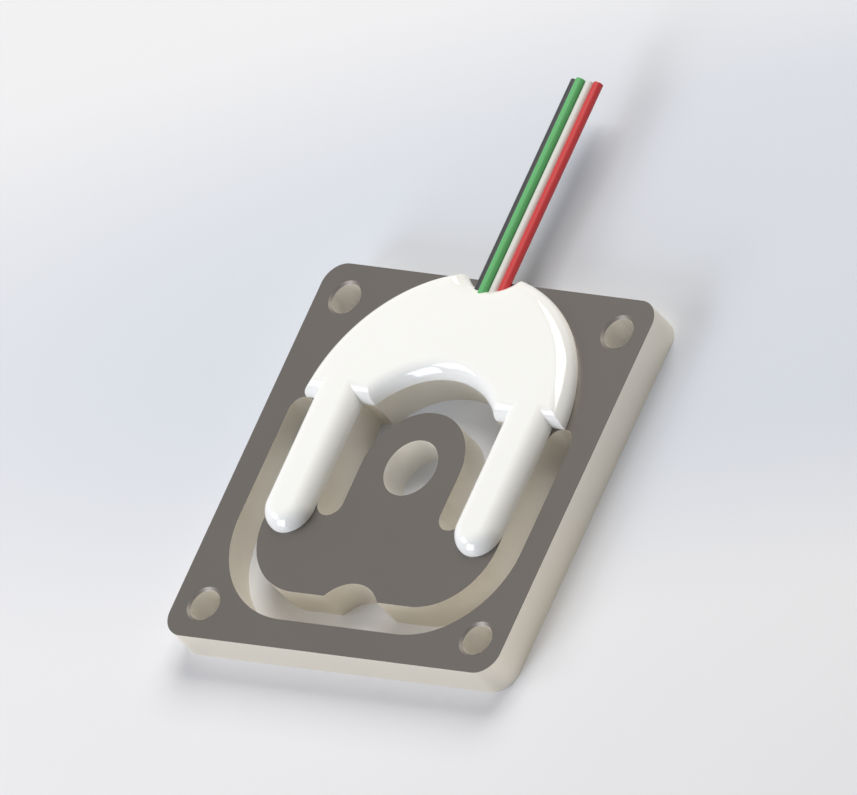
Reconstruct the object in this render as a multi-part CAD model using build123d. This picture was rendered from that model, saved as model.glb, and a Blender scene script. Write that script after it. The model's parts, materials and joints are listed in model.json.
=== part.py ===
from build123d import *
import math
import os

# Compression load cell: a flat sensing plate with two beams, white potting over the
# gauges and their wiring, and four short leads. All sizes are in millimetres. Z is up,
# the underside of the plate is Z = 0, the origin is the middle of that underside, and
# the leads leave towards +Y.

# Sensing plate
plate_side = 34.0
plate_thickness = 3.0
plate_corner_radius = 2.0
frame_width = 2.5
slot_width = 2.5
beam_width = 4.5
beam_length = 10.0
paddle_corner_radius = 6.0
crescent_width = 3.0
load_hole_diameter = 5.0

# Round notch in the free edge of the paddle, centred this far beyond that edge
notch_radius = 3.4
notch_standoff = 2.0

# Corner holes, chamfered on the top face, this far in from both edges
hole_inset = 3.0
hole_diameter = 2.7
hole_rim_diameter = 3.1

# Potting: an arch over the wiring and a leg along each beam
potting_height = 1.4
potting_foot = 0.05
arch_radius = 13.3
arch_centre_y = 4.2
leg_overhang = 2.0
dip_radius = 4.0
dip_depth = 1.15

# Leads, named from -X to +X; the green one rides higher than the others
lead_names = ["black", "green", "white", "red"]
lead_diameter = 0.8
lead_gap = 0.03
lead_lift = 0.05
green_rise = 0.33
lead_bundle_x = 0.265
lead_free_length = 18.0
strand_diameter = 0.09
strand_gap = 0.01
bore_clearance = 0.01
bare_room_margin = 0.03

# Strain gauges, one on each beam: a backing film and an etched foil
film_thickness = 0.05
film_margin = 0.15
foil_thickness = 0.02
grid_lines = 6
grid_line_width = 0.11
grid_line_gap = 0.11
grid_length = 2.4
grid_end_gap = 1.0
loop_height = 0.2
tab_width = 0.8
tab_length = 1.0
tab_gap = 0.25
trace_width = 0.2
trace_standoff = 0.15

# Solder joints, blocks that narrow towards the top, this far inside their tab or pad
solder_inset = 0.03
solder_taper = 10.0
tab_solder_height = 0.45
pad_solder_height = 0.5

# Terminal board with one copper pad for each lead
board_thickness = 0.2
board_length = 2.4
board_margin = 0.2
board_standoff = 0.6
pad_width = 0.56
pad_thickness = 0.035
lead_pad_run = 1.1
insulation_standoff = 0.6

# Flat enamelled jumpers from the gauge tabs to the pads
jumper_width = 0.16
jumper_thickness = 0.05
jumper_pad_clearance = 0.02
jumper_crossing_gap = 0.06
jumper_tab_run = 0.2
jumper_turn_gap = 0.6
jumper_pad_run = 0.6
jumper_pad_gap = 0.25

# Places that follow from the sizes above
top = plate_thickness
half_side = plate_side / 2
slot_outer = half_side - frame_width
paddle_half = slot_outer - slot_width
beam_inner = paddle_half - beam_width
tongue_half = beam_inner - slot_width
slot_end_radius = slot_width / 2
half_beam = beam_length / 2
beam_x = (beam_inner + paddle_half) / 2
crescent_radius = tongue_half + crescent_width
potting_edge = potting_height - potting_foot
overshoot = 1.0

grid_pitch = grid_line_width + grid_line_gap
grid_width = grid_lines * grid_pitch - grid_line_gap
grid_centre_y = half_beam - grid_end_gap - grid_length / 2
tab_pitch = tab_width + tab_gap
film_width = 2 * tab_pitch + tab_width + 2 * film_margin
film_length = 2 * (grid_centre_y + grid_length / 2 + film_margin)
foil_floor = top + film_thickness
foil_top = foil_floor + foil_thickness

board_front_y = crescent_radius + potting_height + board_standoff
board_rear_y = board_front_y + board_length
pad_front_y = board_front_y + board_margin
pad_length = board_length - 2 * board_margin
pad_floor = top + board_thickness
pad_top = pad_floor + pad_thickness
insulation_start_y = board_rear_y + insulation_standoff
lead_end_y = half_side + lead_free_length
low_lead_z = top + lead_lift + lead_diameter / 2

strand_pitch = strand_diameter + strand_gap
bundle_diameter = 2 * strand_pitch + strand_diameter
bore_diameter = bundle_diameter + bore_clearance
strand_end_y = pad_front_y + lead_pad_run


def lead_places():
    """Middle of each lead: the green one rides in the valley between its neighbours."""
    level_step = lead_diameter + lead_gap
    raised_step = math.sqrt(level_step**2 - green_rise**2)
    width = 2 * raised_step + level_step
    black_x = lead_bundle_x - width / 2
    green_x = black_x + raised_step
    white_x = green_x + raised_step
    red_x = white_x + level_step
    return {
        "black": (black_x, low_lead_z),
        "green": (green_x, low_lead_z + green_rise),
        "white": (white_x, low_lead_z),
        "red": (red_x, low_lead_z),
    }


def area(x0, x1, y0, y1):
    """A rectangle given by its edges."""
    middle = Pos((x0 + x1) / 2, (y0 + y1) / 2)
    return middle * Rectangle(x1 - x0, y1 - y0)


def block(x0, x1, y0, y1, z0, z1):
    """A box given by its faces."""
    return Pos(0, 0, z0) * extrude(area(x0, x1, y0, y1), z1 - z0)


def tube(points, diameter):
    """A round wire along a row of points, with mitred corners."""
    path = Polyline(*points)
    section = Plane(origin=path @ 0, z_dir=path % 0) * Circle(diameter / 2)
    return sweep(section, path=path, transition=Transition.RIGHT)


# Sensing plate


def rounded_u(half_width, radius, open_y):
    """The area inside a U with rounded lower corners, open at open_y."""
    outline = area(-half_width, half_width, -half_width, open_y)
    lower_corners = outline.vertices().group_by(Axis.Y)[0]
    return fillet(lower_corners, radius)


def outer_slot():
    """The U shaped slot that frees the paddle and the outsides of the beams."""
    open_y = half_beam - slot_end_radius
    outer = rounded_u(slot_outer, paddle_corner_radius + slot_width, open_y)
    slot = outer - rounded_u(paddle_half, paddle_corner_radius, open_y)
    for side in (-1, 1):
        slot += Pos(side * (paddle_half + slot_end_radius), open_y) * Circle(slot_end_radius)
    return slot


def inner_slot():
    """The arch shaped slot around the tongue, with a square step where the beams start."""
    end_y = slot_end_radius - half_beam
    slot = area(-beam_inner, beam_inner, end_y, half_beam)
    for side in (-1, 1):
        slot += Pos(side * (tongue_half + slot_end_radius), end_y) * Circle(slot_end_radius)
    slot += Circle(crescent_radius) & area(-half_side, half_side, half_beam, half_side)
    tongue = Circle(tongue_half) + area(-tongue_half, tongue_half, -half_beam, 0)
    return slot - tongue


def paddle_notch():
    """The round bite out of the paddle's free edge; the frame beyond the slot stays whole."""
    circle = Pos(0, -paddle_half - notch_standoff) * Circle(notch_radius)
    return circle & area(-half_side, half_side, -slot_outer, half_side)


def corner_hole():
    """One chamfered hole, as the body that is cut away, centred on the origin."""
    chamfer_depth = (hole_rim_diameter - hole_diameter) / 2
    bore = extrude(Circle(hole_diameter / 2), plate_thickness)
    chamfered = Cone(
        hole_diameter / 2,
        hole_rim_diameter / 2,
        chamfer_depth,
        align=(Align.CENTER, Align.CENTER, Align.MAX),
    )
    return bore + Pos(0, 0, top) * chamfered


def sensing_plate():
    outline = RectangleRounded(plate_side, plate_side, plate_corner_radius)
    outline -= outer_slot()
    outline -= inner_slot()
    outline -= paddle_notch()
    outline -= Circle(load_hole_diameter / 2)
    plate = extrude(outline, plate_thickness)
    hole_place = half_side - hole_inset
    for hole_x in (-hole_place, hole_place):
        for hole_y in (-hole_place, hole_place):
            plate -= Pos(hole_x, hole_y) * corner_hole()
    return plate


# Potting


def potting_profile(edge, direction, low, high):
    """Upright section of a rounded potting edge, from 0 out to edge. With direction -1 it
    is the potting itself, which rounds inwards as it rises, and with +1 it is the space
    beside it, which widens by the same round."""
    crown = edge + direction * potting_edge
    outline = Polyline(
        (crown, high), (0, high), (0, low), (edge, low), (edge, potting_foot)
    )
    round_edge = RadiusArc(
        (edge, potting_foot), (crown, potting_height), direction * potting_edge
    )
    outline += round_edge
    if high > potting_height:
        outline += Line((crown, potting_height), (crown, high))
    return make_face(outline)


def turned(profile, centre_x, centre_y):
    """Turns an upright section round a vertical axis on top of the plate."""
    body = revolve(Plane.XZ * profile, axis=Axis.Z)
    return Pos(centre_x, centre_y, top) * body


def space_around(radius, centre_y):
    """The space inside a round edge of the potting."""
    profile = potting_profile(radius, 1, -overshoot, potting_height + overshoot)
    return turned(profile, 0, centre_y)


def arch():
    """The arch: a rounded disc, less the slot's crescent, the dip for the leads and all
    that lies in front of the step where the beams start."""
    body = turned(potting_profile(arch_radius, -1, 0, potting_height), 0, arch_centre_y)
    body -= space_around(crescent_radius, 0)
    body -= space_around(dip_radius, half_side - dip_depth + dip_radius)
    front_depth = half_beam + arch_radius
    front = potting_profile(front_depth, 1, -overshoot, potting_height + overshoot)
    front_space = extrude(Plane.YZ * front, plate_side / 2, both=True)
    return body - Pos(0, half_beam - front_depth, top) * front_space


def leg(side):
    """One leg over a beam: a bar with rounded edges and a round end past the beam."""
    half_width = beam_width / 2
    end_y = half_width - half_beam - leg_overhang
    root_y = half_beam + potting_height
    profile = potting_profile(half_width, -1, 0, potting_height)
    section = Plane.XZ * (profile + mirror(profile, about=Plane.YZ))
    bar = extrude(section, root_y - end_y, dir=(0, 1, 0))
    bar = Pos(side * beam_x, end_y, top) * bar
    return bar + turned(profile, side * beam_x, end_y)


def potting(contents):
    """The cast potting, with a pocket of the exact shape for each thing it holds."""
    body = arch() + leg(-1) + leg(1)
    for piece in contents:
        body -= piece
    return body


# Strain gauges


def gauge_film(side):
    half_width = film_width / 2
    half_length = film_length / 2
    film = block(-half_width, half_width, -half_length, half_length, top, foil_floor)
    return Pos(side * beam_x) * film


def gauge_grid():
    """One grid above the tabs: lines along the beam, joined by loops at alternate ends,
    with the first and the last line running on down to the traces."""
    low_y = grid_centre_y - grid_length / 2
    high_y = grid_centre_y + grid_length / 2
    grid = Sketch()
    for line in range(grid_lines):
        x0 = line * grid_pitch - grid_width / 2
        is_outer_line = line in (0, grid_lines - 1)
        start_y = low_y - trace_standoff if is_outer_line else low_y
        grid += area(x0, x0 + grid_line_width, start_y, high_y)
    for loop in range(grid_lines - 1):
        x0 = loop * grid_pitch - grid_width / 2
        x1 = x0 + grid_pitch + grid_line_width
        if loop % 2 == 0:
            grid += area(x0, x1, high_y - loop_height, high_y)
        else:
            grid += area(x0, x1, low_y, low_y + loop_height)
    return grid


def half_foil():
    """Half of a foil: one grid, its two traces, the inner tab and half the middle tab."""
    bar_high = grid_centre_y - grid_length / 2 - trace_standoff
    bar_low = bar_high - trace_width
    line_in = grid_width / 2 - grid_line_width
    half = gauge_grid()
    half += area(-tab_pitch - trace_width / 2, -line_in, bar_low, bar_high)
    half += area(-trace_width / 2, grid_width / 2, bar_low, bar_high)
    half += area(-tab_pitch - trace_width / 2, trace_width / 2 - tab_pitch, 0, bar_high)
    half += area(-trace_width / 2, trace_width / 2, 0, bar_high)
    half += Pos(-tab_pitch) * Rectangle(tab_width, tab_length)
    half += area(-tab_width / 2, tab_width / 2, 0, tab_length / 2)
    return half


def gauge_foil(side):
    """The etched foil: a grid near each end of the beam and three tabs between them. The
    middle tab joins both grids, and the left foil mirrors the right one."""
    outline = half_foil() + Rot(0, 0, 180) * half_foil()
    foil = Pos(beam_x, 0, foil_floor) * extrude(outline, foil_thickness)
    return foil if side > 0 else mirror(foil, about=Plane.YZ)


def tab_places(side):
    """X of the three tabs of one gauge, from -X to +X."""
    return [side * beam_x + step * tab_pitch for step in (-1, 0, 1)]


def solder_joint(foot, width, length, height, contents):
    """Solder on a tab or a pad of this width and length, with its foot's middle at foot and
    room for the ends that it holds."""
    outline = Rectangle(width - 2 * solder_inset, length - 2 * solder_inset)
    joint = Pos(*foot) * extrude(outline, height, taper=solder_taper)
    for piece in contents:
        joint -= piece
    return joint


def tab_solder(side, jumpers):
    """The solder joints on the three tabs, each around the end of its jumper."""
    return [
        solder_joint((tab_x, 0, foil_top), tab_width, tab_length, tab_solder_height, [jumper])
        for tab_x, jumper in zip(tab_places(side), jumpers)
    ]


# Terminal board and wiring


def terminal_board(leads):
    edge = pad_width / 2 + board_margin
    x0 = leads["black"][0] - edge
    x1 = leads["red"][0] + edge
    return block(x0, x1, board_front_y, board_rear_y, top, pad_floor)


def terminal_pad(lead_x):
    x0 = lead_x - pad_width / 2
    x1 = lead_x + pad_width / 2
    return block(x0, x1, pad_front_y, pad_front_y + pad_length, pad_floor, pad_top)


def jumper(tab_x, pad_x, level):
    """One flat jumper: along the beam, across under the arch and onto its pad. Those of
    level 1 come from the right and pass over those of level 0 from the left."""
    step = jumper_thickness + jumper_crossing_gap
    end_y = pad_front_y + jumper_pad_run
    route = Polyline(
        (tab_x, -jumper_tab_run),
        (tab_x, half_beam + jumper_turn_gap),
        (pad_x, pad_front_y - jumper_pad_gap),
        (pad_x, end_y),
    )
    edges = offset(route, jumper_width / 2, kind=Kind.INTERSECTION, side=Side.BOTH)
    outline = make_face(edges) & area(-half_side, half_side, -jumper_tab_run, end_y)
    strip = extrude(outline, jumper_thickness)
    return Pos(0, 0, pad_top + jumper_pad_clearance + level * step) * strip


def all_jumpers(leads):
    """Three jumpers from each gauge. The black and red pads feed both gauges, the left
    gauge's middle tab goes to green and the right one's to white."""
    routes = {
        "left": (-1, 0, ("black", "green", "red")),
        "right": (1, 1, ("black", "white", "red")),
    }
    jumpers = {}
    for side_name, (side, level, pads) in routes.items():
        for tab_x, pad in zip(tab_places(side), pads):
            jumpers[f"jumper_{side_name}_{pad}"] = jumper(tab_x, leads[pad][0], level)
    return jumpers


def bare_route(x, z, shift_z=0.0):
    """Route of a conductor from the end of its insulation to its pad. The raised lead's
    comes down to the level of the others."""
    return [(x, insulation_start_y, z), (x, strand_end_y, low_lead_z + shift_z)]


def bare_room(x, z):
    """Room for the bare end of a conductor, a little longer than the strands at both ends."""
    start, end = [Vector(*point) for point in bare_route(x, z)]
    margin = (end - start).normalized() * bare_room_margin
    return tube([start - margin, end + margin], bore_diameter)


def lead_strand(lead_x, lead_z, shift_x=0.0, shift_z=0.0):
    """One strand, straight unless its lead is raised, shifted from the conductor's middle."""
    x = lead_x + shift_x
    z = lead_z + shift_z
    bend, pad_end = bare_route(x, z, shift_z)
    is_raised = lead_z > low_lead_z
    route = [(x, lead_end_y, z), bend, pad_end] if is_raised else [(x, lead_end_y, z), pad_end]
    return tube(route, strand_diameter)


def lead_conductor(lead_x, lead_z):
    """Seven strands: one in the middle and six around it."""
    strands = [lead_strand(lead_x, lead_z)]
    for turn in range(6):
        angle = math.radians(60 * turn)
        shift_x = strand_pitch * math.cos(angle)
        shift_z = strand_pitch * math.sin(angle)
        strands.append(lead_strand(lead_x, lead_z, shift_x, shift_z))
    return strands


def lead_sleeve(lead_x, lead_z, diameter):
    """A straight round bar along the insulated stretch of a lead."""
    ends = [(lead_x, lead_end_y, lead_z), (lead_x, insulation_start_y, lead_z)]
    return tube(ends, diameter)


def lead_insulation(lead_x, lead_z):
    outside = lead_sleeve(lead_x, lead_z, lead_diameter)
    return outside - lead_sleeve(lead_x, lead_z, bore_diameter)


def pad_solder(lead_x, ends):
    """The solder joint on one pad, around the conductor and the jumpers that end there."""
    foot = (lead_x, pad_front_y + pad_length / 2, pad_top)
    return solder_joint(foot, pad_width, pad_length, pad_solder_height, ends)


def build_nodes():
    """Every piece, each under the name of its node."""
    leads = lead_places()
    jumpers = all_jumpers(leads)
    nodes = {"sensing_plate": sensing_plate()}
    buried = []

    for side_name, side in (("left", -1), ("right", 1)):
        own_jumpers = [strip for name, strip in jumpers.items() if side_name in name]
        film = gauge_film(side)
        foil = gauge_foil(side)
        joints = tab_solder(side, own_jumpers)
        nodes[f"gauge_film_{side_name}"] = film
        nodes[f"gauge_foil_{side_name}"] = foil
        nodes[f"gauge_solder_{side_name}"] = Compound(joints)
        buried += [film, foil, *joints, *own_jumpers]
    nodes.update(jumpers)

    board = terminal_board(leads)
    pads = [terminal_pad(lead_x) for lead_x, lead_z in leads.values()]
    nodes["terminal_board"] = board
    nodes["terminal_pads"] = Compound(pads)
    buried += [board, *pads]

    for lead in lead_names:
        lead_x, lead_z = leads[lead]
        room = bare_room(lead_x, lead_z)
        ends = [strip for name, strip in jumpers.items() if name.endswith(lead)]
        joint = pad_solder(lead_x, [*ends, room])
        nodes[f"lead_solder_{lead}"] = joint
        nodes[f"lead_conductor_{lead}"] = Compound(lead_conductor(lead_x, lead_z))
        nodes[f"lead_insulation_{lead}"] = lead_insulation(lead_x, lead_z)
        buried += [joint, room, lead_sleeve(lead_x, lead_z, lead_diameter)]

    nodes["potting"] = potting(buried)
    return nodes


os.makedirs("parts", exist_ok=True)
for name, piece in build_nodes().items():
    export_step(piece, f"parts/{name}.step")
    print(name, round(piece.volume, 4))
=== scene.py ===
# %% [markdown]
# Compression load cell: the looks
#
# This lesson dresses the imported CAD model of a small compression load cell, the kind that
# sits under a bathroom scale. It is a square steel plate, slotted so that two short beams
# carry the load, with white potting over the strain gauges and four thin leads.
#
# Everything here is built around it in the same place, in metres, with Z up and the leads
# leaving towards +Y. MM is a millimetre in that frame.

# %% Load the frame
import json
import math

import bpy
from mathutils import Matrix, Vector

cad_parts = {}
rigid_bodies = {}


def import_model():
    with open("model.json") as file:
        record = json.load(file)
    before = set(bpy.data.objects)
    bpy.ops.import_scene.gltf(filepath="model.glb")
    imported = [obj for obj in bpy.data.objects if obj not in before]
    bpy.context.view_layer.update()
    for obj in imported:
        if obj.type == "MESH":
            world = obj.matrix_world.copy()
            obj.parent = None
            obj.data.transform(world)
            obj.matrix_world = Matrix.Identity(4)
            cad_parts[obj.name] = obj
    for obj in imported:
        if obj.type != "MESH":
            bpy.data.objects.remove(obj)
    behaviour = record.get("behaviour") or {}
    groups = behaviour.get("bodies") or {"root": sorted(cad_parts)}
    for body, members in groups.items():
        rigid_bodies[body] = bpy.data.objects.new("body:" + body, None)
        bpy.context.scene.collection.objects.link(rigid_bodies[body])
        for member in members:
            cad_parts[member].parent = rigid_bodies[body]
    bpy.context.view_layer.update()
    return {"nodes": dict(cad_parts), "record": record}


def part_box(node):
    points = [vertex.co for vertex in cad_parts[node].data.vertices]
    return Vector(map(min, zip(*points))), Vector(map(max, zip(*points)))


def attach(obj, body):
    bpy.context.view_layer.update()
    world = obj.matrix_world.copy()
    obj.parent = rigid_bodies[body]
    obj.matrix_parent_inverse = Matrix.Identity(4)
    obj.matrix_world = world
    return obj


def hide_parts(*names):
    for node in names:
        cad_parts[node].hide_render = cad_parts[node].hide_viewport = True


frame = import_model()
nodes = frame["nodes"]
MM = 0.001
print("CAD nodes:", len(nodes))

# %% [markdown]
# The sensing plate
#
# The real plate is stamped or laser cut from one sheet of hard steel and ground flat. It
# could be drawn as a flat outline and extruded, but the slots are the work of cutters, so
# here a block is rounded at its corners and then cut: the wide U slot that frees the
# paddle, the arch slot round the tongue, the notch, the load hole and the corner holes.
#
# The sizes are the driving sizes of the real part, in millimetres, under the names that the
# CAD source gives them. Blender's own tolerances suit things about a metre across, so each
# piece is modelled with one Blender unit to the millimetre and scaled down when it is done.

# %% Plate block
plate_side = 34.0
plate_thickness = 3.0

half_side = plate_side / 2
top = plate_thickness


def new_block(x0, x1, y0, y1, z0, z1):
    """A block given by its faces."""
    bpy.ops.object.select_all(action="DESELECT")
    middle = ((x0 + x1) / 2, (y0 + y1) / 2, (z0 + z1) / 2)
    bpy.ops.mesh.primitive_cube_add(size=1, location=middle, scale=(x1 - x0, y1 - y0, z1 - z0))
    bpy.ops.object.transform_apply(location=True, rotation=True, scale=True)
    return bpy.context.object


plate = new_block(-half_side, half_side, -half_side, half_side, 0, top)
print("plate block", plate_side, "mm square and", plate_thickness, "mm thick")

# %% [markdown]
# The four corners of the outline are rounded. A bevel in many steps does that, as a fillet
# does in CAD. An operator works on whatever is selected, and the import leaves every CAD
# node selected, so a piece is first selected alone. Its edges or faces are then chosen by a
# rule on their corners, much as a hand picks them by where they lie.

# %% Plate corners
plate_corner_radius = 2.0
plate_corner_steps = 24


def start_alone(piece):
    """Selects one piece and nothing else."""
    bpy.ops.object.select_all(action="DESELECT")
    piece.select_set(True)
    bpy.context.view_layer.objects.active = piece


def leave_edit():
    """Goes back to object mode, in which the mesh can be read."""
    bpy.ops.object.mode_set(mode="OBJECT")


def choose(piece, kind, rule):
    """In edit mode, selects the edges or faces of a piece for which the rule is true."""
    start_alone(piece)
    bpy.ops.object.mode_set(mode="EDIT")
    bpy.ops.mesh.select_mode(type=kind)
    bpy.ops.mesh.select_all(action="DESELECT")
    leave_edit()
    mesh = piece.data
    parts = mesh.edges if kind == "EDGE" else mesh.polygons
    for part in parts:
        corners = [mesh.vertices[index].co for index in part.vertices]
        part.select = rule(corners)
    bpy.ops.object.mode_set(mode="EDIT")


choose(plate, "EDGE", lambda ends: abs(ends[0].z - ends[1].z) > plate_thickness / 2)
bpy.ops.mesh.bevel(offset=plate_corner_radius, segments=plate_corner_steps, affect="EDGES")
leave_edit()
print("plate corners rounded to", plate_corner_radius, "mm, faces:", len(plate.data.polygons))

# %% [markdown]
# Each slot is made as the solid that fills it, and then cut from the plate. The U is a
# rounded block with a smaller rounded block, the paddle, taken out of it. A cutter stands
# out of the plate by CLEARANCE on both sides, because a cut is unsure where two faces lie
# in one plane.

# %% U slot filling
frame_width = 2.5
slot_width = 2.5
beam_length = 10.0
paddle_corner_radius = 6.0
slot_corner_steps = 48
CLEARANCE = 1.0

slot_outer = half_side - frame_width
paddle_half = slot_outer - slot_width
half_beam = beam_length / 2
slot_end_radius = slot_width / 2
cut_low, cut_high = -CLEARANCE, top + CLEARANCE
below, above = cut_low - CLEARANCE, cut_high + CLEARANCE


def combine(body, tool, operation):
    """Adds a tool to a body or cuts it away, and deletes the tool."""
    start_alone(body)
    change = body.modifiers.new("combine", "BOOLEAN")
    change.operation = operation
    change.solver = "EXACT"
    change.object = tool
    bpy.ops.object.modifier_apply(modifier=change.name)
    bpy.data.objects.remove(tool)


def rounded_u(half_width, radius, open_y, z0, z1):
    """A block with its two lower corners rounded, open end at open_y."""
    block = new_block(-half_width, half_width, -half_width, open_y, z0, z1)
    choose(
        block,
        "EDGE",
        lambda ends: abs(ends[0].z - ends[1].z) > plate_thickness / 2 and ends[0].y < 0,
    )
    bpy.ops.mesh.bevel(offset=radius, segments=slot_corner_steps, affect="EDGES")
    leave_edit()
    return block


arm_end_y = half_beam - slot_end_radius
u_filling = rounded_u(
    slot_outer, paddle_corner_radius + slot_width, arm_end_y, cut_low, cut_high
)
paddle = rounded_u(paddle_half, paddle_corner_radius, arm_end_y + CLEARANCE, below, above)
combine(u_filling, paddle, "DIFFERENCE")
print("U from", paddle_half, "to", slot_outer, "mm, faces:", len(u_filling.data.polygons))

# %% [markdown]
# A cutter can't leave a square end, so each arm of the U ends in a half round. A cylinder as
# wide as the slot, set on the end of the arm, gives it, and the whole U then cuts the plate.

# %% U slot ends
ROUND_SIDES = 192


def new_cylinder(x, y, radius, z0, z1, sides=ROUND_SIDES):
    """An upright cylinder given by its axis and its two ends."""
    bpy.ops.object.select_all(action="DESELECT")
    bpy.ops.mesh.primitive_cylinder_add(
        vertices=sides, radius=radius, depth=z1 - z0, location=(x, y, (z0 + z1) / 2)
    )
    bpy.ops.object.transform_apply(location=True, rotation=True, scale=True)
    return bpy.context.object


for side in (-1, 1):
    arm_x = side * (paddle_half + slot_end_radius)
    round_end = new_cylinder(arm_x, arm_end_y, slot_end_radius, cut_low, cut_high)
    combine(u_filling, round_end, "UNION")
combine(plate, u_filling, "DIFFERENCE")
print("plate with its U slot, faces:", len(plate.data.polygons))

# %% [markdown]
# The arch slot goes round the tongue, which carries the load hole, and frees the inner side
# of each beam. Its filling is a block with two round ends and a crescent behind the load
# hole. The tongue, a disc round the load hole with a straight stem, is taken out of it.

# %% Arch slot
beam_width = 4.5
crescent_width = 3.0

beam_inner = paddle_half - beam_width
tongue_half = beam_inner - slot_width
crescent_radius = tongue_half + crescent_width

arch_end_y = slot_end_radius - half_beam
arch_filling = new_block(-beam_inner, beam_inner, arch_end_y, half_beam, cut_low, cut_high)
for side in (-1, 1):
    arch_end_x = side * (tongue_half + slot_end_radius)
    round_end = new_cylinder(arch_end_x, arch_end_y, slot_end_radius, cut_low, cut_high)
    combine(arch_filling, round_end, "UNION")
crescent = new_cylinder(0, 0, crescent_radius, cut_low, cut_high)
front_part = new_block(-half_side, half_side, -half_side, half_beam, below, above)
combine(crescent, front_part, "DIFFERENCE")
combine(arch_filling, crescent, "UNION")
tongue = new_cylinder(0, 0, tongue_half, below, above)
stem = new_block(-tongue_half, tongue_half, -half_side, 0, below, above)
combine(tongue, stem, "UNION")
combine(arch_filling, tongue, "DIFFERENCE")
combine(plate, arch_filling, "DIFFERENCE")
print("beams run from x", beam_inner, "to", paddle_half, "mm")

# %% [markdown]
# The notch bites the free edge of the paddle and stops short of the frame, so its cylinder
# is trimmed before it cuts. The load hole is drilled straight through.

# %% Notch and load hole
notch_radius = 3.4
notch_standoff = 2.0
load_hole_diameter = 5.0

notch = new_cylinder(0, -paddle_half - notch_standoff, notch_radius, cut_low, cut_high)
frame_side = new_block(-half_side, half_side, -half_side, -slot_outer, below, above)
combine(notch, frame_side, "DIFFERENCE")
combine(plate, notch, "DIFFERENCE")
load_drill = new_cylinder(0, 0, load_hole_diameter / 2, cut_low, cut_high)
combine(plate, load_drill, "DIFFERENCE")
print("notch and load hole cut, faces:", len(plate.data.polygons))

# %% [markdown]
# A corner hole is a drilled bore with a chamfer at the top. One cutter does both: it is a
# cylinder whose upper end is drawn out to the rim. Two points count as one when they are
# closer than NEAR, so that a rule still holds where a number has been rounded.

# %% Corner holes
hole_inset = 3.0
hole_diameter = 2.7
hole_rim_diameter = 3.1
corner_hole_sides = 96
NEAR = 1e-3

hole_place = half_side - hole_inset
widening = (hole_rim_diameter - hole_diameter) / 2
rim_scale = hole_rim_diameter / hole_diameter
mouth = top - widening


def corner_hole(x, y):
    """A bore with a chamfered mouth, made by drawing out the cutter's upper end."""
    radius = hole_diameter / 2
    drill = new_cylinder(x, y, radius, cut_low, mouth, sides=corner_hole_sides)
    choose(drill, "FACE", lambda corners: min(c.z for c in corners) > mouth - NEAR)
    bpy.ops.mesh.extrude_region_move(TRANSFORM_OT_translate={"value": (0, 0, widening)})
    bpy.ops.transform.resize(value=(rim_scale, rim_scale, 1))
    bpy.ops.mesh.extrude_region_move(TRANSFORM_OT_translate={"value": (0, 0, CLEARANCE)})
    leave_edit()
    return drill


for hole_x in (-hole_place, hole_place):
    for hole_y in (-hole_place, hole_place):
        combine(plate, corner_hole(hole_x, hole_y), "DIFFERENCE")
print("corner holes", 2 * hole_place, "mm apart, faces:", len(plate.data.polygons))

# %% [markdown]
# A ground and deburred edge is never a perfect line: it is broken by a few hundredths of a
# millimetre, and that thin band is what catches the light. A narrow bevel on all sharp
# edges gives it. The modifier finds them by their angle, so the round stretches stay whole.

# %% Plate edges
edge_break = 0.05
edge_break_steps = 2
sharp_from = math.radians(40)


def merge_doubles(piece, distance=NEAR):
    """Joins points that lie together, and turns the faces outwards."""
    start_alone(piece)
    bpy.ops.object.mode_set(mode="EDIT")
    bpy.ops.mesh.select_all(action="SELECT")
    bpy.ops.mesh.remove_doubles(threshold=distance)
    bpy.ops.mesh.normals_make_consistent(inside=False)
    leave_edit()


merge_doubles(plate)
start_alone(plate)
broken_edges = plate.modifiers.new("edge break", "BEVEL")
broken_edges.width = edge_break
broken_edges.segments = edge_break_steps
broken_edges.limit_method = "ANGLE"
broken_edges.angle_limit = sharp_from
broken_edges.miter_outer = "MITER_ARC"
bpy.ops.object.modifier_apply(modifier=broken_edges.name)
print("edges broken by", edge_break, "mm, faces:", len(plate.data.polygons))

# %% [markdown]
# The walls of the slots are made of many narrow flats, which have to look round, and the
# broad faces have to stay flat right up to their edges. Smooth shading below an angle does
# the first, and normals weighted by the size of the faces do the second. The finished plate
# is then scaled down to metres, with its place in its own mesh.

# %% Plate shading
SAME_AREA = 0.2
LARGE_FACES_LEAD = 100


def shade(piece, smooth_below):
    """Shades smoothly across edges flatter than this many degrees, and keeps flats flat.
    Faces whose areas differ by less than SAME_AREA, in square millimetres, count alike, so
    that the slivers along a mitre don't tilt the light on a round."""
    start_alone(piece)
    bpy.ops.object.shade_smooth_by_angle(angle=math.radians(smooth_below))
    weights = piece.modifiers.new("flats", "WEIGHTED_NORMAL")
    weights.keep_sharp = True
    weights.weight = LARGE_FACES_LEAD
    weights.thresh = SAME_AREA
    bpy.ops.object.modifier_apply(modifier=weights.name)


def to_metres(piece, name):
    """Scales a finished piece down to the frame, with its place in its own mesh."""
    start_alone(piece)
    piece.scale = (MM, MM, MM)
    bpy.ops.object.transform_apply(location=True, rotation=True, scale=True)
    piece.name = name
    print(name, "faces:", len(piece.data.polygons))
    return piece


shade(plate, smooth_below=35)
plate = to_metres(plate, "plate_ground")

# %% [markdown]
# The potting
#
# Potting is a resin poured over the gauges and their wiring. Its edges are full quarter
# rounds, which meet in mitres wherever the outline turns a corner. A bevel over the whole
# outline would fold at the short steps beside the legs, so each stretch is rounded by
# itself. The arch starts as a disc whose centre lies a little behind the load hole, and its
# rim is rounded while it is still a plain disc.

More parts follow.
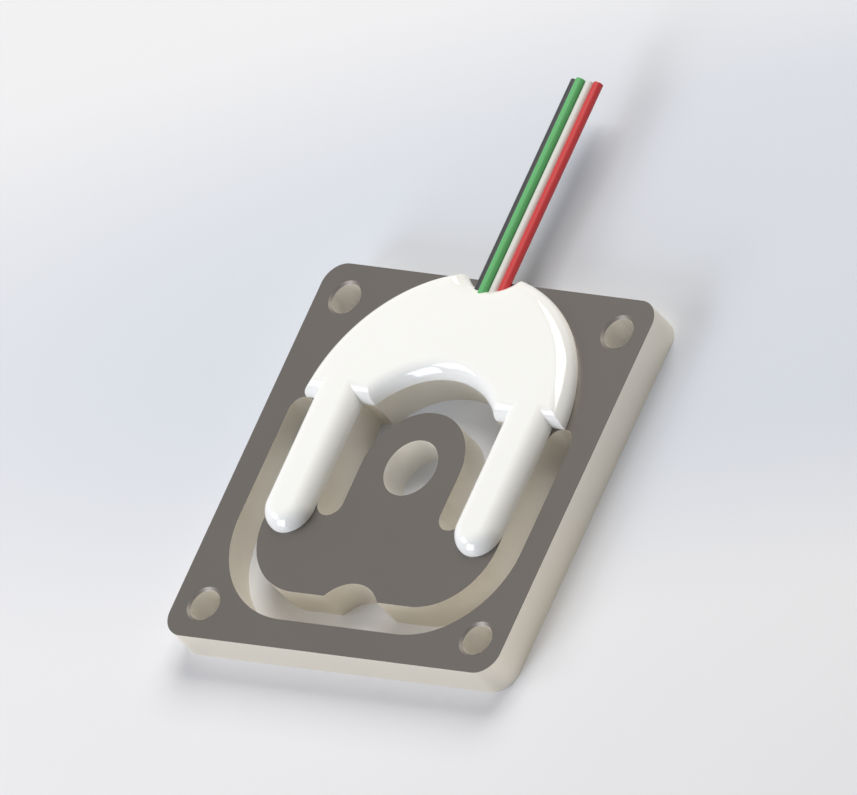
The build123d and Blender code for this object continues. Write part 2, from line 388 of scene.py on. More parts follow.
# %% Arch disc
potting_height = 1.4
potting_foot = 0.05
arch_radius = 13.3
arch_centre_y = 4.2
arch_sides = 320
round_steps = 24

potting_round = potting_height - potting_foot
potting_top = top + potting_height
potting = new_cylinder(0, arch_centre_y, arch_radius, top, potting_top, sides=arch_sides)
choose(potting, "EDGE", lambda ends: all(abs(end.z - potting_top) < NEAR for end in ends))
bpy.ops.mesh.bevel(offset=potting_round, segments=round_steps, affect="EDGES")
leave_edit()
print("arch rim rounded by", round(potting_round, 2), "mm, faces:", len(potting.data.polygons))

# %% [markdown]
# Two stretches of the outline curve inwards: the crescent that keeps clear of the load hole,
# and the dip where the leads come out. Each is cut with a tool that carries the same round
# as a hollow. It is a cylinder with a brim at the height of the potting's top, and a bevel
# fills the corner under the brim.

# %% Crescent and dip
dip_radius = 4.0
dip_depth = 1.15


def flared_cylinder(x, y, radius):
    """A cylinder that cuts an upright wall and leaves a quarter round above it."""
    tool = new_cylinder(x, y, radius, top - CLEARANCE, potting_top)
    choose(tool, "FACE", lambda corners: min(c.z for c in corners) > potting_top - NEAR)
    brim = (radius + 2 * potting_round) / radius
    bpy.ops.mesh.extrude_region_move()
    bpy.ops.transform.resize(value=(brim, brim, 1))
    bpy.ops.mesh.extrude_region_move(TRANSFORM_OT_translate={"value": (0, 0, CLEARANCE)})
    leave_edit()
    choose(
        tool,
        "EDGE",
        lambda ends: all(
            abs(end.z - potting_top) < NEAR
            and abs(math.hypot(end.x - x, end.y - y) - radius) < NEAR
            for end in ends
        ),
    )
    bpy.ops.mesh.bevel(offset=potting_round, segments=round_steps, affect="EDGES")
    leave_edit()
    return tool


combine(potting, flared_cylinder(0, 0, crescent_radius), "DIFFERENCE")
dip_centre_y = half_side - dip_depth + dip_radius
combine(potting, flared_cylinder(0, dip_centre_y, dip_radius), "DIFFERENCE")
print("crescent and dip cut, faces:", len(potting.data.polygons))

# %% [markdown]
# The front of the arch is straight and runs along the rear ends of the beams. Its tool is a
# block with a step at the height of the potting's top, and a bevel rounds the inner corner
# of the step.

# %% Straight front
front_tool = new_block(
    -plate_side, plate_side, -plate_side, half_beam, top - CLEARANCE, potting_top
)
choose(front_tool, "FACE", lambda corners: min(c.z for c in corners) > potting_top - NEAR)
bpy.ops.mesh.extrude_region_move(TRANSFORM_OT_translate={"value": (0, 0, CLEARANCE)})
leave_edit()
choose(
    front_tool,
    "FACE",
    lambda corners: min(c.z for c in corners) > potting_top - NEAR
    and min(c.y for c in corners) > half_beam - NEAR,
)
bpy.ops.mesh.extrude_region_move(TRANSFORM_OT_translate={"value": (0, 2 * potting_round, 0)})
leave_edit()
choose(
    front_tool,
    "EDGE",
    lambda ends: all(
        abs(end.z - potting_top) < NEAR and abs(end.y - half_beam) < NEAR for end in ends
    ),
)
bpy.ops.mesh.bevel(offset=potting_round, segments=round_steps, affect="EDGES")
leave_edit()
combine(potting, front_tool, "DIFFERENCE")
print("arch faces:", len(potting.data.polygons))

# %% [markdown]
# A leg lies along each beam. It is a bar as wide as the beam with a half round end, made by
# rounding the two upright edges of a block by half its width, and then its upper edges. The
# second leg is a copy of the first, moved across.

# %% Legs
leg_overhang = 2.0
leg_end_steps = 40

leg_end_y = -half_beam - leg_overhang
leg_root_y = half_beam + potting_height
beam_x = (beam_inner + paddle_half) / 2
leg = new_block(beam_inner, paddle_half, leg_end_y, leg_root_y, top, potting_top)
choose(
    leg,
    "EDGE",
    lambda ends: abs(ends[0].z - ends[1].z) > potting_foot and ends[0].y < 0,
)
bpy.ops.mesh.bevel(offset=beam_width / 2, segments=leg_end_steps, affect="EDGES")
leave_edit()
merge_doubles(leg)
choose(
    leg,
    "EDGE",
    lambda ends: all(abs(end.z - potting_top) < NEAR for end in ends)
    and min(end.y for end in ends) < leg_root_y - NEAR,
)
bpy.ops.mesh.bevel(offset=potting_round, segments=round_steps, affect="EDGES")
leave_edit()

start_alone(leg)
bpy.ops.object.duplicate()
other_leg = bpy.context.object
bpy.ops.transform.translate(value=(-2 * beam_x, 0, 0))
bpy.ops.object.transform_apply(location=True, rotation=True, scale=True)
combine(potting, leg, "UNION")
combine(potting, other_leg, "UNION")
merge_doubles(potting)
print("arch with both legs, faces:", len(potting.data.polygons))

# %% [markdown]
# The resin flowed round everything that it covers, so the casting has a pocket for each of
# those pieces: the gauge films and foils, the solder, the flat jumpers, the terminal board
# and the insulated ends of the leads. The pieces themselves are the cutters. A CAD mesh is
# loose triangles, so a copy of it is merged before it cuts, and the node is left alone. The
# foil is so thin that only points closer than TINY are merged.

# %% Pockets in the potting
POCKET_NODES = [
    name
    for name in sorted(nodes)
    if name.startswith(("gauge_", "jumper_", "terminal_", "lead_solder_"))
]
TINY = 1e-4


def copy_in_millimetres(name):
    """A merged copy of a CAD node, brought up to the scale of the modelling."""
    start_alone(nodes[name])
    bpy.ops.object.duplicate()
    copy = bpy.context.object
    bpy.ops.object.parent_clear(type="CLEAR_KEEP_TRANSFORM")
    copy.scale = (1 / MM, 1 / MM, 1 / MM)
    bpy.ops.object.transform_apply(location=True, rotation=True, scale=True)
    merge_doubles(copy, TINY)
    return copy


for name in POCKET_NODES:
    combine(potting, copy_in_millimetres(name), "DIFFERENCE")
print("pockets cut for", len(POCKET_NODES), "pieces")

# %% [markdown]
# The leads
#
# A lead is a bundle of fine tinned strands in a PVC sleeve, cut square with side cutters.
# One sleeve is modelled and then copied, because all four are cut from the same wire. It
# starts as a cylinder laid along Y, with its size and place from the CAD node.

# %% Sleeve blank
LEADS = ("black", "green", "white", "red")
sleeve_sides = 64


def lead_box(lead):
    """The corners of a lead's insulation in the CAD model, in millimetres."""
    low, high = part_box(f"lead_insulation_{lead}")
    return low / MM, high / MM


def lay_cylinder(x, z, radius, y0, y1):
    """A cylinder along Y."""
    bpy.ops.object.select_all(action="DESELECT")
    bpy.ops.mesh.primitive_cylinder_add(
        vertices=sleeve_sides,
        radius=radius,
        depth=y1 - y0,
        location=(x, (y0 + y1) / 2, z),
        rotation=(math.radians(90), 0, 0),
    )
    bpy.ops.object.transform_apply(location=True, rotation=True, scale=True)
    return bpy.context.object


first_low, first_high = lead_box(LEADS[0])
first_middle = (first_low + first_high) / 2
lead_radius = (first_high.x - first_low.x) / 2
sleeve_length = first_high.y - first_low.y
sleeve = lay_cylinder(first_middle.x, first_middle.z, lead_radius, first_low.y, first_high.y)
print("sleeve", round(2 * lead_radius, 2), "mm across,", round(sleeve_length, 2), "long")

# %% [markdown]
# The bore could be cut with a thinner cylinder, but two ends and a bridge give a cleaner
# mesh. Both ends are inset to the size of the bore, the two inner faces go, and a bridge
# between their rims makes the wall of the bore.

# %% Sleeve bore
sleeve_bore = 0.30


def at_an_end(corners):
    """True for edges and faces that lie wholly in one of the sleeve's two ends."""
    return any(all(abs(c.y - end) < NEAR for c in corners) for end in (first_low.y, first_high.y))


def from_the_axis(corner):
    """How far a corner lies from the middle line of the sleeve."""
    return math.hypot(corner.x - first_middle.x, corner.z - first_middle.z)


def on_the_bore(corners):
    """True for what lies within the rim of the bore."""
    return all(from_the_axis(corner) < sleeve_bore / 2 + NEAR for corner in corners)


choose(sleeve, "FACE", at_an_end)
bpy.ops.mesh.inset(thickness=lead_radius - sleeve_bore / 2)
leave_edit()
choose(sleeve, "FACE", lambda corners: at_an_end(corners) and on_the_bore(corners))
bpy.ops.mesh.delete(type="ONLY_FACE")
leave_edit()
choose(sleeve, "EDGE", lambda ends: at_an_end(ends) and on_the_bore(ends))
bpy.ops.mesh.bridge_edge_loops()
leave_edit()
print("bore", sleeve_bore, "mm across, faces:", len(sleeve.data.polygons))

# %% [markdown]
# A side cutter leaves a soft outer rim on the plastic, which is a small bevel. Its edges
# are those of the two ends that lie on the outside.

# %% Sleeve rims
cut_rim = 0.03
cut_rim_steps = 3

choose(
    sleeve,
    "EDGE",
    lambda ends: at_an_end(ends) and all(from_the_axis(end) > lead_radius - NEAR for end in ends),
)
bpy.ops.mesh.bevel(offset=cut_rim, segments=cut_rim_steps, affect="EDGES")
leave_edit()
merge_doubles(sleeve, TINY)
print("rims rounded by", cut_rim, "mm, faces:", len(sleeve.data.polygons))

# %% [markdown]
# The finished sleeve is copied and moved to each place in the bundle. The resin closed round
# the sleeves too, so a plain cylinder of the same size cuts each pocket. That is the last
# cut, and the potting is shaded after it: smooth only across the small steps of its rounds,
# so that the mitres stay crisp.

# %% Copies of the sleeve, and their pockets
sleeves = {}
for lead in LEADS:
    low, high = lead_box(lead)
    middle = (low + high) / 2
    start_alone(sleeve)
    bpy.ops.object.duplicate()
    copy = bpy.context.object
    bpy.ops.transform.translate(value=middle - first_middle)
    bpy.ops.object.transform_apply(location=True, rotation=True, scale=True)
    pocket = lay_cylinder(middle.x, middle.z, lead_radius, low.y, high.y)
    combine(potting, pocket, "DIFFERENCE")
    shade(copy, smooth_below=40)
    sleeves[lead] = to_metres(copy, f"lead_sleeve_{lead}")
bpy.data.objects.remove(sleeve)

shade(potting, smooth_below=5)
potting = to_metres(potting, "potting_cast")

# %% [markdown]
# Materials
#
# Every material starts from what the real one is. Colours are written as sRGB hex values,
# as a paint chart gives them, and one function turns them to the linear values that
# Blender's sockets take. A second function adds one node with its settings and links.

# %% Colours and nodes
def linear(hex_colour):
    """A colour written as sRGB hex, as linear red, green, blue and alpha."""
    channels = []
    for start in (0, 2, 4):
        value = int(hex_colour[start : start + 2], 16) / 255
        low = value / 12.92
        high = ((value + 0.055) / 1.055) ** 2.4
        channels.append(low if value <= 0.04045 else high)
    return (*channels, 1.0)


def add_node(tree, kind, settings=None, inputs=None):
    """Adds one node. A value that is a node's output is linked, any other is set."""
    node = tree.nodes.new(kind)
    for key, value in (settings or {}).items():
        setattr(node, key, value)
    for key, value in (inputs or {}).items():
        if isinstance(value, bpy.types.NodeSocket):
            tree.links.new(value, node.inputs[key])
        else:
            node.inputs[key].default_value = value
    return node


def new_material(name):
    """An empty node material with its output, ready for a shader."""
    material = bpy.data.materials.new(name)
    material.use_nodes = True
    material.node_tree.nodes.clear()
    output = add_node(material.node_tree, "ShaderNodeOutputMaterial")
    return material, material.node_tree, output


print("the grey 808080 is", round(linear("808080")[0], 3), "in linear light")

# %% [markdown]
# The plate is hardened steel. Its two broad faces keep the brownish grey of the heat
# treatment and are ground smooth. The walls of the outline, slots and holes are painted
# much paler than the faces: a painted reflection, standing in for the bright surroundings
# that the walls mirror. They could be two materials on chosen faces, but one material that
# reads the way the surface faces needs no choosing: a normal that stands up or down is a
# broad face, and so is a chamfer.

# %% Steel: broad faces and walls
painted_wall_up_to = 0.45
face_from = 0.65

plate_steel, steel_tree, steel_output = new_material("hardened_steel")
steel_place = add_node(steel_tree, "ShaderNodeTexCoord")
normal = add_node(
    steel_tree, "ShaderNodeSeparateXYZ", inputs={"Vector": steel_place.outputs["Normal"]}
)
upright = add_node(
    steel_tree, "ShaderNodeMath", {"operation": "ABSOLUTE"}, {0: normal.outputs["Z"]}
)
# Mask between the broad faces and the walls, which carry a painted reflection.
faces_vs_painted_walls = add_node(
    steel_tree,
    "ShaderNodeMapRange",
    {"interpolation_type": "SMOOTHSTEP"},
    {"Value": upright.outputs["Value"], "From Min": painted_wall_up_to, "From Max": face_from},
)
print("a surface is a wall while its normal's Z is below", painted_wall_up_to)

# %% [markdown]
# The five bores are painted paler than the other walls: painted light, standing in for
# their bright insides. Their places are found by folding the plate over its two middle lines
# with absolute values, so that one distance serves all four corners and another the load
# hole.

# %% Steel: painted light in the bores
load_bore_reach = (load_hole_diameter / 2 + edge_break) * MM
corner_bore_reach = hole_rim_diameter / 2 * MM

folded = add_node(
    steel_tree,
    "ShaderNodeVectorMath",
    {"operation": "ABSOLUTE"},
    {"Vector": steel_place.outputs["Object"]},
)
painted_bore_light_masks = []
for bore_place, reach in ((0.0, load_bore_reach), (hole_place, corner_bore_reach)):
    offset = add_node(
        steel_tree,
        "ShaderNodeVectorMath",
        {"operation": "SUBTRACT"},
        {0: folded.outputs["Vector"], 1: (bore_place * MM, bore_place * MM, 0.0)},
    )
    flat_offset = add_node(
        steel_tree,
        "ShaderNodeVectorMath",
        {"operation": "MULTIPLY"},
        {0: offset.outputs["Vector"], 1: (1.0, 1.0, 0.0)},
    )
    distance = add_node(
        steel_tree,
        "ShaderNodeVectorMath",
        {"operation": "LENGTH"},
        {"Vector": flat_offset.outputs["Vector"]},
    )
    within = add_node(
        steel_tree,
        "ShaderNodeMath",
        {"operation": "LESS_THAN"},
        {0: distance.outputs["Value"], 1: reach},
    )
    painted_bore_light_masks.append(within.outputs["Value"])
# Mask of the painted light in the five bores.
painted_bore_light = add_node(
    steel_tree, "ShaderNodeMath", {"operation": "MAXIMUM"}, {0: painted_bore_light_masks[0], 1: painted_bore_light_masks[1]}
)
bore_reaches = [round(reach / MM, 2) for reach in (corner_bore_reach, load_bore_reach)]
print("bores reach to", bore_reaches, "mm from their axes")

# %% [markdown]
# The colours: the heat treatment leaves the broad faces faintly cloudy, a few millimetres
# from cloud to cloud. The walls are painted a warm, pale steel as a painted reflection, and
# the bores paler still as painted light.

# %% Steel: colours
cloud_size = 5.0 * MM
cloud_detail = 3.0

clouds = add_node(
    steel_tree,
    "ShaderNodeTexNoise",
    inputs={
        "Vector": steel_place.outputs["Object"],
        "Scale": 1 / cloud_size,
        "Detail": cloud_detail,
    },
)
face_tint = add_node(
    steel_tree,
    "ShaderNodeMix",
    {"data_type": "RGBA"},
    {"Factor": clouds.outputs["Fac"], "A": linear("7A746D"), "B": linear("767069")},
)
# Painted reflection: the walls are painted pale, and the bores paler still as painted light.
painted_wall_and_bore_light = add_node(
    steel_tree,
    "ShaderNodeMix",
    {"data_type": "RGBA"},
    {"Factor": painted_bore_light.outputs["Value"], "A": linear("E5DFD2"), "B": linear("F6F2E9")},
)
steel_and_painted_light = add_node(
    steel_tree,
    "ShaderNodeMix",
    {"data_type": "RGBA"},
    {
        "Factor": faces_vs_painted_walls.outputs["Result"],
        "A": painted_wall_and_bore_light.outputs["Result"],
        "B": face_tint.outputs["Result"],
    },
)
print("steel colours mixed, clouds", round(cloud_size / MM, 1), "mm apart")

# %% [markdown]
# The gloss: grinding leaves the broad faces smoother than the cut walls and the chamfers,
# so their roughness is lower.

# %% Steel: gloss
chamfer_up_to = 0.80
ground_from = 0.98
cut_roughness = 0.50
ground_roughness = 0.36

gloss = add_node(
    steel_tree,
    "ShaderNodeMapRange",
    inputs={
        "Value": upright.outputs["Value"],
        "From Min": chamfer_up_to,
        "From Max": ground_from,
        "To Min": cut_roughness,
        "To Max": ground_roughness,
    },
)
print("roughness from", ground_roughness, "on the broad faces to", cut_roughness, "on the cuts")

# %% [markdown]
# The grinding lines run along Y. Really they are a few hundredths of a millimetre apart, and
# they are drawn coarser, so that they show at all. Noise that is squeezed across the lines
# and drawn out along them does it, as a bump far shallower than it is wide.

# %% Steel: grinding lines
grind_pitch = 0.12 * MM
grind_run = 4.0 * MM
grind_detail = 4.0
grind_depth = 0.002 * MM
grind_strength = 0.25

stretched = add_node(
    steel_tree,
    "ShaderNodeMapping",
    inputs={
        "Vector": steel_place.outputs["Object"],
        "Scale": (1 / grind_pitch, 1 / grind_run, 1 / grind_pitch),
    },
)
grinding = add_node(
    steel_tree,
    "ShaderNodeTexNoise",
    inputs={"Vector": stretched.outputs["Vector"], "Scale": 1.0, "Detail": grind_detail},
)
grind_bump = add_node(
    steel_tree,
    "ShaderNodeBump",
    inputs={
        "Height": grinding.outputs["Fac"],
        "Strength": grind_strength,
        "Distance": grind_depth,
    },
)
steel_shader = add_node(
    steel_tree,
    "ShaderNodeBsdfPrincipled",
    inputs={
        "Base Color": steel_and_painted_light.outputs["Result"],
        "Metallic": 1.0,
        "Roughness": gloss.outputs["Result"],
        "Normal": grind_bump.outputs["Normal"],
    },
)
steel_tree.links.new(steel_shader.outputs["BSDF"], steel_output.inputs["Surface"])
print("steel has", len(steel_tree.nodes), "nodes")

# %% [markdown]
# The potting is a white filled epoxy. It is cast and cures with a skin as smooth as glass,
# which gives it crisp, bright reflections on every round. Cast, drawn and rolled finishes
# differ only in colour, grain and gloss, so they share one recipe. A pigment is never quite
# even, so its colour drifts a little between two near values.

# %% Potting resin
grain_detail = 3.0
grain_strength = 0.3


def plain_finish(name, colour, variation, grain_mm, depth_mm, **surface):
    """A cast, drawn or rolled finish: a slight drift of colour and a fine bump."""
    material, tree, output = new_material(name)
    place = add_node(tree, "ShaderNodeTexCoord").outputs["Object"]
    noise = add_node(
        tree,
        "ShaderNodeTexNoise",
        inputs={"Vector": place, "Scale": 1 / (grain_mm * MM), "Detail": grain_detail},
    )
    tint = add_node(
        tree,
        "ShaderNodeMix",
        {"data_type": "RGBA"},
        {
            "Factor": noise.outputs["Fac"],
            "A": linear(colour),
            "B": linear(variation),
        },
    )
    bump = add_node(
        tree,
        "ShaderNodeBump",
        inputs={
            "Height": noise.outputs["Fac"],
            "Strength": grain_strength,
            "Distance": depth_mm * MM,
        },
    )
    shader = add_node(
        tree,
        "ShaderNodeBsdfPrincipled",
        inputs={
            "Base Color": tint.outputs["Result"],
            "Normal": bump.outputs["Normal"],
            **surface,
        },
    )
    tree.links.new(shader.outputs["BSDF"], output.inputs["Surface"])
    return material


potting_resin = plain_finish(
    "cast_epoxy", "F6F6F2", "F4F4F0", grain_mm=3.0, depth_mm=0.002, Roughness=0.03, IOR=1.6
)
print("resin has", len(potting_resin.node_tree.nodes), "nodes")

# %% [markdown]
# The sleeves of the leads are PVC, drawn through a die while hot. That leaves them satin,
# with a soft streak of light along each lead. The four differ only in their pigment.

# %% Lead insulation
pvc_surface = {"grain_mm": 0.3, "depth_mm": 0.002, "Roughness": 0.4, "IOR": 1.52}

black_pvc = plain_finish("black_pvc", "2A2A2A", "2E2E2E", **pvc_surface)
green_pvc = plain_finish("green_pvc", "5BB168", "55AA62", **pvc_surface)
white_pvc = plain_finish("white_pvc", "DCDCD7", "D6D6D1", **pvc_surface)
red_pvc = plain_finish("red_pvc", "CC3032", "C22B2D", **pvc_surface)
insulations = (black_pvc, green_pvc, white_pvc, red_pvc)
print("insulations:", [insulation.name for insulation in insulations])

# %% [markdown]
# What the potting holds shows only when it is taken away. The gauges are a foil of
# constantan, a silvery alloy with a warm cast, on a clear amber film of polyimide. Solder is
# bright and slightly rippled where it froze. The jumpers are copper seen through clear brown
# enamel, the board is green glass and resin laminate, its pads are bare rolled copper, and
# the strands of the leads are copper with a silvery coat of tin.

# %% Gauge, wiring and board materials
bare_metal = {"Metallic": 1.0, "Roughness": 0.3}

gauge_film = plain_finish(
    "polyimide_film", "C8811E", "C07A1A", grain_mm=0.5, depth_mm=0.001, Roughness=0.25, IOR=1.7
)
gauge_foil = plain_finish(
    "constantan_foil", "B9A68C", "B3A086", grain_mm=0.1, depth_mm=0.001, **bare_metal
)
solder = plain_finish(
    "tin_solder", "C2C2C0", "BABAB8", grain_mm=0.2, depth_mm=0.005, Metallic=1.0, Roughness=0.28
)
enamelled_copper = plain_finish(
    "enamelled_copper",
    "A4511F",
    "9C4C1C",
    grain_mm=0.1,
    depth_mm=0.001,
    Metallic=1.0,
    Roughness=0.22,
)
board_laminate = plain_finish(
    "glass_epoxy_board", "2B5A3B", "275536", grain_mm=0.2, depth_mm=0.003, Roughness=0.5, IOR=1.55
)
copper_pad = plain_finish(
    "rolled_copper", "CF8560", "C77E5A", grain_mm=0.2, depth_mm=0.001, **bare_metal
)
tinned_copper = plain_finish(
    "tinned_copper", "C9C6C0", "C1BEB8", grain_mm=0.05, depth_mm=0.001, **bare_metal
)
print("materials in the file:", len(bpy.data.materials))

# %% [markdown]
# The record of the part names a material slot for every node, so the looks are handed out
# by slot. A node that stays keeps its own mesh, and is only given its material.

# %% Give each CAD node its material
slot_materials = {
    "plate_steel": plate_steel,
    "potting_resin": potting_resin,
    "gauge_film": gauge_film,
    "gauge_foil": gauge_foil,
    "solder": solder,
    "enamelled_copper": enamelled_copper,
    "board_laminate": board_laminate,
    "copper_pad": copper_pad,
    "tinned_copper": tinned_copper,
    "black_insulation": black_pvc,
    "green_insulation": green_pvc,
    "white_insulation": white_pvc,
    "red_insulation": red_pvc,
}


def dress(piece, slot):
    """Gives a piece the material of one of the record's slots, and nothing else."""
    piece.data.materials.clear()
    piece.data.materials.append(slot_materials[slot])


node_slots = {part["node"]: part["material_slot"] for part in frame["record"]["subparts"]}
for node_name, slot_name in node_slots.items():
    dress(nodes[node_name], slot_name)
print("materials given to", len(node_slots), "CAD nodes")

# %% [markdown]
# The finer pieces get the same materials. Each rides on the body that its node belongs to,
# and replaces that node.

# %% Give the finer pieces theirs
dress(plate, "plate_steel")
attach(plate, "root")
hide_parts("sensing_plate")
dress(potting, "potting_resin")
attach(potting, "root")
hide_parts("potting")
for lead, piece in sleeves.items():
    dress(piece, f"{lead}_insulation")
    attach(piece, "root")
    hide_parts(f"lead_insulation_{lead}")
print("finer pieces:", plate.name, potting.name, [piece.name for piece in sleeves.values()])

# %% [markdown]
# The floor
#
# The part lies on a plain pale sheet of paper. A broad cool, darker patch is painted across
# it from the left to the back on the right: a painted reflection of cool surroundings, which
# darkens and cools the paper there. A spherical gradient does that: it falls off evenly from
# one point, and a Mapping node stretches it into a long flat oval.

# %% Paper: colour and painted reflection
painted_reflection_centre = (26.0 * MM, 25.0 * MM, 0.0)
painted_reflection_turn = (0.0, 0.0, math.radians(15))
painted_reflection_reach = (130.0 * MM, 34.0 * MM, 1.0)
painted_reflection_full_from = 0.6

paper, paper_tree, paper_output = new_material("pale_paper")
paper_place = add_node(paper_tree, "ShaderNodeTexCoord").outputs["Object"]
oval = add_node(
    paper_tree,
    "ShaderNodeMapping",
    {"vector_type": "TEXTURE"},
    {"Vector": paper_place, "Location": painted_reflection_centre, "Rotation": painted_reflection_turn, "Scale": painted_reflection_reach},
)
fall_off = add_node(
    paper_tree,
    "ShaderNodeTexGradient",
    {"gradient_type": "SPHERICAL"},
    {"Vector": oval.outputs["Vector"]},
)
# Strength of the painted cool reflection on the paper.
painted_reflection_strength = add_node(
    paper_tree,
    "ShaderNodeMapRange",
    {"interpolation_type": "SMOOTHSTEP"},
    {"Value": fall_off.outputs["Fac"], "From Min": 0.0, "From Max": painted_reflection_full_from},
)
# The paper's colour, mixed with the painted cool reflection.
paper_and_painted_reflection = add_node(
    paper_tree,
    "ShaderNodeMix",
    {"data_type": "RGBA"},
    {"Factor": painted_reflection_strength.outputs["Result"], "A": linear("E6E6E8"), "B": linear("D3D7DF")},
)
print("cool oval", [round(reach / MM) for reach in painted_reflection_reach[:2]], "mm from middle to edge")

# %% [markdown]
# Paper is matt, and its fibres are a very shallow bump.

# %% Paper: fibres
fibre_width = 0.3 * MM
fibre_depth = 0.01 * MM
fibre_strength = 0.1
paper_roughness = 0.9

fibres = add_node(
    paper_tree,
    "ShaderNodeTexNoise",
    inputs={"Vector": paper_place, "Scale": 1 / fibre_width, "Detail": grain_detail},
)
fibre_bump = add_node(
    paper_tree,
    "ShaderNodeBump",
    inputs={
        "Height": fibres.outputs["Fac"],
        "Strength": fibre_strength,
        "Distance": fibre_depth,
    },
)
paper_shader = add_node(
    paper_tree,
    "ShaderNodeBsdfPrincipled",
    inputs={
        "Base Color": paper_and_painted_reflection.outputs["Result"],
        "Normal": fibre_bump.outputs["Normal"],
        "Roughness": paper_roughness,
    },
)
paper_tree.links.new(paper_shader.outputs["BSDF"], paper_output.inputs["Surface"])
print("paper has", len(paper_tree.nodes), "nodes")

# %% [markdown]
# The sheet itself is one flat face at the height of the plate's underside, so large that
# its edge stays far out of the picture. It is stage, and no part of the load cell.

# %% Floor
floor_side = 4.0

bpy.ops.object.select_all(action="DESELECT")
bpy.ops.mesh.primitive_plane_add(size=floor_side, location=(0, 0, 0))
floor = bpy.context.object
floor.name = "floor"
floor.data.materials.append(paper)
print("floor", floor_side, "m square")

# %% [markdown]
# The air round the table
#
# Bare metal has no colour of its own to show: it shows what surrounds it. So the air looks
# pale to a ray that is mirrored by the part, and dimmer to the light that falls on matt
# surfaces. Light that left the paper and went by way of the metal counts as matt light too,
# which keeps the floor of the slots as dark as it really is. A ray counts its matt bounces
# in whole numbers, so less than half a bounce means none.

# %% Air: mirrored rays
half_a_bounce = 0.5

world = bpy.data.worlds.new("studio_air")
world.use_nodes = True
bpy.context.scene.world = world
air = world.node_tree
air.nodes.clear()
rays = add_node(air, "ShaderNodeLightPath")
mirrored = add_node(
    air,
    "ShaderNodeMath",
    {"operation": "MAXIMUM"},
    {0: rays.outputs["Is Glossy Ray"], 1: rays.outputs["Is Transmission Ray"]},
)
before_matt = add_node(
    air,
    "ShaderNodeMath",
    {"operation": "LESS_THAN"},
    {0: rays.outputs["Diffuse Depth"], 1: half_a_bounce},
)
mirrored_first = add_node(
    air,
    "ShaderNodeMath",
    {"operation": "MULTIPLY"},
    {0: mirrored.outputs["Value"], 1: before_matt.outputs["Value"]},
)
print("air sorts its rays with", len(air.nodes), "nodes")

# %% [markdown]
# Three colours follow: a dim one for the light on matt surfaces, or the shadows would wash
# out, a pale one for mirrored rays, and a paler one for a camera ray that misses the floor.

# %% Air: colours
lit_or_mirrored = add_node(
    air,
    "ShaderNodeMix",
    {"data_type": "RGBA"},
    {"Factor": mirrored_first.outputs["Value"], "A": linear("807E7C"), "B": linear("DDE0E6")},
)
air_colour = add_node(
    air,
    "ShaderNodeMix",
    {"data_type": "RGBA"},
    {
        "Factor": rays.outputs["Is Camera Ray"],
        "A": lit_or_mirrored.outputs["Result"],
        "B": linear("EEEFF1"),
    },
)
glow = add_node(
    air, "ShaderNodeBackground", inputs={"Color": air_colour.outputs["Result"], "Strength": 1.0}
)
add_node(air, "ShaderNodeOutputWorld", inputs={"Surface": glow.outputs["Background"]})
print("air has", len(air.nodes), "nodes")

# %% [markdown]
# The lamps
#
# Three soft boxes stand as in a small studio. The glossy resin mirrors each as a pale
# patch, so the patches in the photograph tell where the boxes stood and how large they
# were: the widest behind, a cool tall one low in front, and a small one at the side. A
# lamp's power follows from the level that it gives on a white face turned to it.

# %% Back lamp
lamp_distance = 0.4


def soft_box(name, azimuth, elevation, width, height, level, colour):
    """A soft box aimed at the part from a direction given in degrees."""
    turn = math.radians(azimuth)
    rise = math.radians(elevation)
    aim = Vector(
        (
            math.cos(turn) * math.cos(rise),
            math.sin(turn) * math.cos(rise),
            math.sin(rise),
        )
    )
    bpy.ops.object.select_all(action="DESELECT")
    bpy.ops.object.light_add(type="AREA", location=aim * lamp_distance)
    lamp = bpy.context.object
    lamp.name = name
    lamp.rotation_euler = aim.to_track_quat("Z", "Y").to_euler()
    lamp.data.shape = "RECTANGLE"
    lamp.data.size = width
    lamp.data.size_y = height
    lamp.data.energy = level * (math.pi * lamp_distance) ** 2
    lamp.data.color = colour
    print(name, "power", round(lamp.data.energy, 2), "W")


soft_box(
    "back_lamp",
    azimuth=91,
    elevation=43,
    width=0.30,
    height=0.26,
    level=0.89,
    colour=(1.0, 0.98, 0.94),
)

# %% [markdown]
# The other two fill in. The cool one lights the walls that face the camera, and the small
# one gives the rounds a second, fainter line of light.

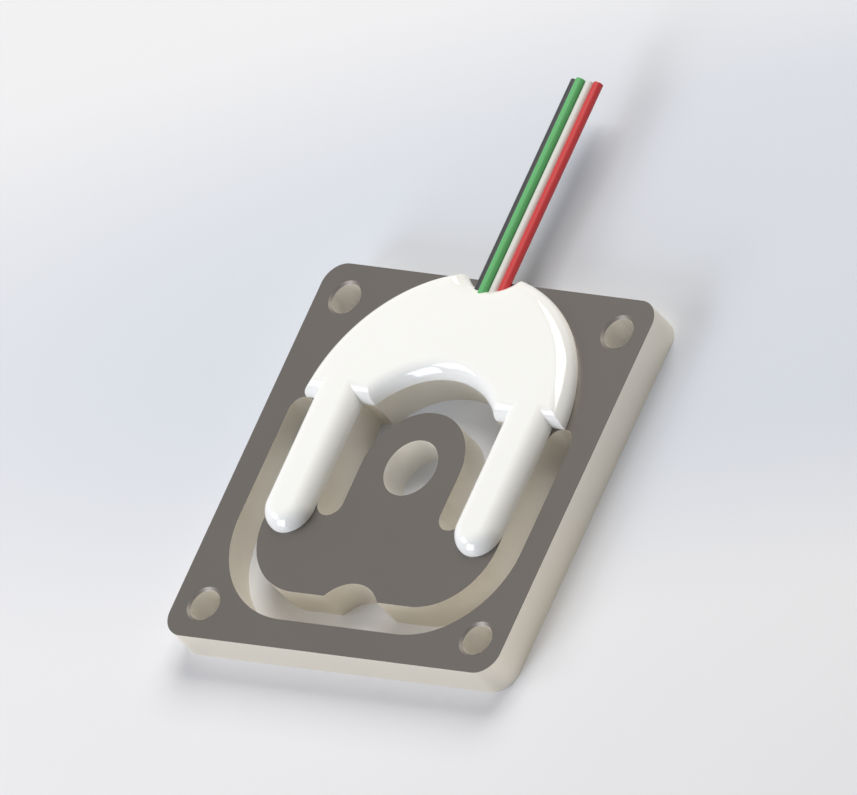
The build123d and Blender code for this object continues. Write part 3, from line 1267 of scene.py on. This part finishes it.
# %% Front and side lamps
soft_box(
    "front_lamp",
    azimuth=-112,
    elevation=20,
    width=0.20,
    height=0.27,
    level=0.72,
    colour=(0.84, 0.89, 1.0),
)
soft_box(
    "side_lamp",
    azimuth=-153,
    elevation=37,
    width=0.19,
    height=0.14,
    level=0.20,
    colour=(1.0, 1.0, 1.0),
)

# %% [markdown]
# The camera
#
# The photograph is a parallel view, in which lines that are parallel on the part stay
# parallel, so the camera is orthographic. Its direction came from the plate's square and
# the round load hole, and it is rolled so that the leads run up to the right.

# %% Camera direction
camera_azimuth = math.radians(62.34)
camera_elevation = math.radians(43.44)
camera_roll = math.radians(-45.41)

level_right = Vector((math.cos(camera_azimuth), math.sin(camera_azimuth), 0))
back = Vector(
    (
        math.sin(camera_azimuth) * math.cos(camera_elevation),
        -math.cos(camera_azimuth) * math.cos(camera_elevation),
        math.sin(camera_elevation),
    )
)
level_up = back.cross(level_right)
right = math.cos(camera_roll) * level_right + math.sin(camera_roll) * level_up
up = back.cross(right)
print("camera looks along", [round(part, 3) for part in -back])

# %% [markdown]
# Its place along that direction doesn't matter in a parallel view, so it only has to be
# well clear of the part. The width of the view and two small shifts, all in metres, put the
# part where it lies in the photograph.

# %% Camera
view_width = 0.066945
camera_distance = 0.3
camera_shift_right = -0.0001691
camera_shift_up = 0.0070373
nearest_seen = 0.01
farthest_seen = 10.0

bpy.ops.object.select_all(action="DESELECT")
bpy.ops.object.camera_add()
camera = bpy.context.object
camera.data.type = "ORTHO"
camera.data.ortho_scale = view_width
camera.data.clip_start = nearest_seen
camera.data.clip_end = farthest_seen
turned = Matrix((right, up, back)).transposed().to_4x4()
camera_place = back * camera_distance + right * camera_shift_right + up * camera_shift_up
camera.matrix_world = Matrix.Translation(camera_place) @ turned
bpy.context.scene.camera = camera
print("camera sees", round(view_width / MM, 2), "mm across")

# %% [markdown]
# The Standard view shows each colour about as it is written, with no film curve on it. The
# finer pieces stand exactly where the CAD nodes stand.

# %% Finish
bpy.context.scene.view_settings.view_transform = "Standard"
